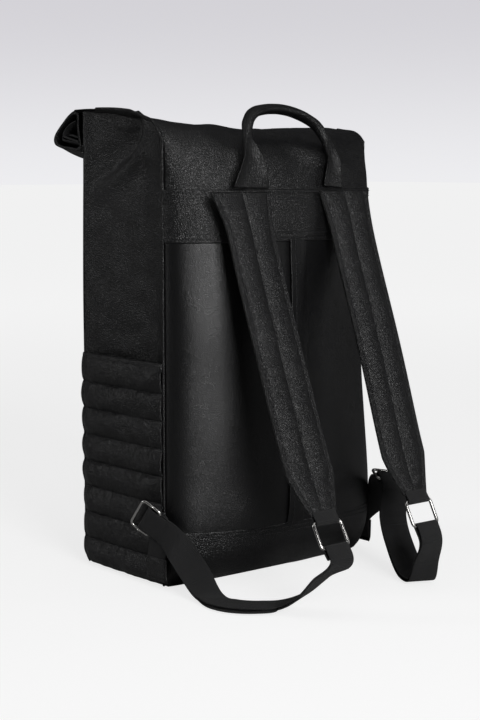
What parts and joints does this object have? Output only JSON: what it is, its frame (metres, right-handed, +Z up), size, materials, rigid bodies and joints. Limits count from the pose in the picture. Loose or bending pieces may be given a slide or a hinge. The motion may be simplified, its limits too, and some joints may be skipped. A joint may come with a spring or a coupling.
{
  "type": "leather backpack",
  "caption": "Roll-top leather backpack with quilted side pockets, padded shoulder straps on rings and sliders, a rolled carry handle and a hidden back zip.",
  "frame": {"origin": "middle of the flat underside, level with the floor it stands on", "axes": "+Z up, +Y towards the front panel and the roll, -Y towards the back panel and the shoulder straps, +X to the right when looking at the back"},
  "size_m": [0.3018, 0.4074, 0.4915],
  "materials": {
    "grain_leather": "pebbled black leather, satin",
    "smooth_leather": "finer black leather, satin",
    "webbing": "woven black webbing, matt",
    "lining": "dark grey woven lining, matt",
    "foam": "dark foam padding, matt",
    "zip_tape": "black zip tape with a coil, matt",
    "board": "dark stiffener sheet",
    "nickel": "bright nickel plating"
  },
  "bodies": {
    "bag": {"base_panel": "grain_leather", "base_board": "board", "back_base_panel": "grain_leather", "back_panel_left": "smooth_leather", "back_panel_right": "smooth_leather", "back_band": "grain_leather", "collar_back": "grain_leather", "side_panel_left": "grain_leather", "side_panel_right": "grain_leather", "side_quilt_left": "grain_leather", "side_quilt_right": "grain_leather", "pocket_binding_left": "grain_leather", "pocket_binding_right": "grain_leather", "front_quilt": "grain_leather", "front_panel": "grain_leather", "piping_left": "grain_leather", "piping_right": "grain_leather", "lining": "lining", "back_foam": "foam", "laptop_sleeve": "lining", "zip_tape": "zip_tape", "zip_flap": "smooth_leather", "zip_pocket": "lining", "anchor_left": "grain_leather", "anchor_right": "grain_leather", "webbing_left": "webbing", "webbing_right": "webbing", "snap_socket": "nickel"},
    "roll_top": {"collar_top": "grain_leather", "roll": "grain_leather", "roll_stiffener": "foam", "closure_tab": "grain_leather", "snap_cap": "nickel"},
    "handle": {"handle_cover": "grain_leather", "handle_core": "foam"},
    "strap_left": {"strap_left_cover": "grain_leather", "strap_left_pad": "foam", "strap_left_backing": "grain_leather", "strap_left_tab": "webbing"},
    "strap_right": {"strap_right_cover": "grain_leather", "strap_right_pad": "foam", "strap_right_backing": "grain_leather", "strap_right_tab": "webbing"},
    "ring_left": {"ring_left": "nickel"},
    "ring_right": {"ring_right": "nickel"},
    "slider_left": {"slider_left_frame": "nickel", "slider_left_bar": "nickel"},
    "slider_right": {"slider_right_frame": "nickel", "slider_right_bar": "nickel"},
    "zip_slider": {"zip_slider": "nickel"},
    "zip_puller": {"zip_puller": "nickel"}
  },
  "joints": [
    {"name": "roll_top_lift", "type": "hinge", "parent": "bag", "child": "roll_top", "pos_m": [0, -0.065, 0.466], "axis": [1, 0, 0], "range_deg": [0, 50]},
    {"name": "handle_fold", "type": "hinge", "parent": "bag", "child": "handle", "pos_m": [0, -0.1207, 0.408], "axis": [1, 0, 0], "range_deg": [0, 60]},
    {"name": "strap_left_swing", "type": "hinge", "parent": "bag", "child": "strap_left", "pos_m": [-0.0695, -0.122, 0.406], "axis": [-1, 0, 0], "range_deg": [0, 15], "deforming": ["webbing_left"]},
    {"name": "strap_right_swing", "type": "hinge", "parent": "bag", "child": "strap_right", "pos_m": [0.0695, -0.122, 0.406], "axis": [-1, 0, 0], "range_deg": [0, 15], "deforming": ["webbing_right"]},
    {"name": "ring_left_turn", "type": "hinge", "parent": "strap_left", "child": "ring_left", "pos_m": [-0.0695, -0.24361, 0.091], "axis": [1, 0, 0], "range_deg": [-20, 20]},
    {"name": "ring_right_turn", "type": "hinge", "parent": "strap_right", "child": "ring_right", "pos_m": [0.0695, -0.23133, 0.09084], "axis": [1, 0, 0], "range_deg": [-20, 20]},
    {"name": "slider_left_slide", "type": "slide", "parent": "bag", "child": "slider_left", "axis": [0.4681, -0.6796, -0.5649], "range_m": [-0.01, 0.01]},
    {"name": "slider_right_slide", "type": "slide", "parent": "bag", "child": "slider_right", "axis": [-0.4764, -0.8436, -0.2479], "range_m": [-0.01, 0.01]},
    {"name": "zip_slide", "type": "slide", "parent": "bag", "child": "zip_slider", "axis": [0, 0, -1], "range_m": [0, 0.18]},
    {"name": "zip_puller_swing", "type": "hinge", "parent": "zip_slider", "child": "zip_puller", "pos_m": [0, -0.1219, 0.327], "axis": [0, 1, 0], "range_deg": [0, 85]}
  ]
}
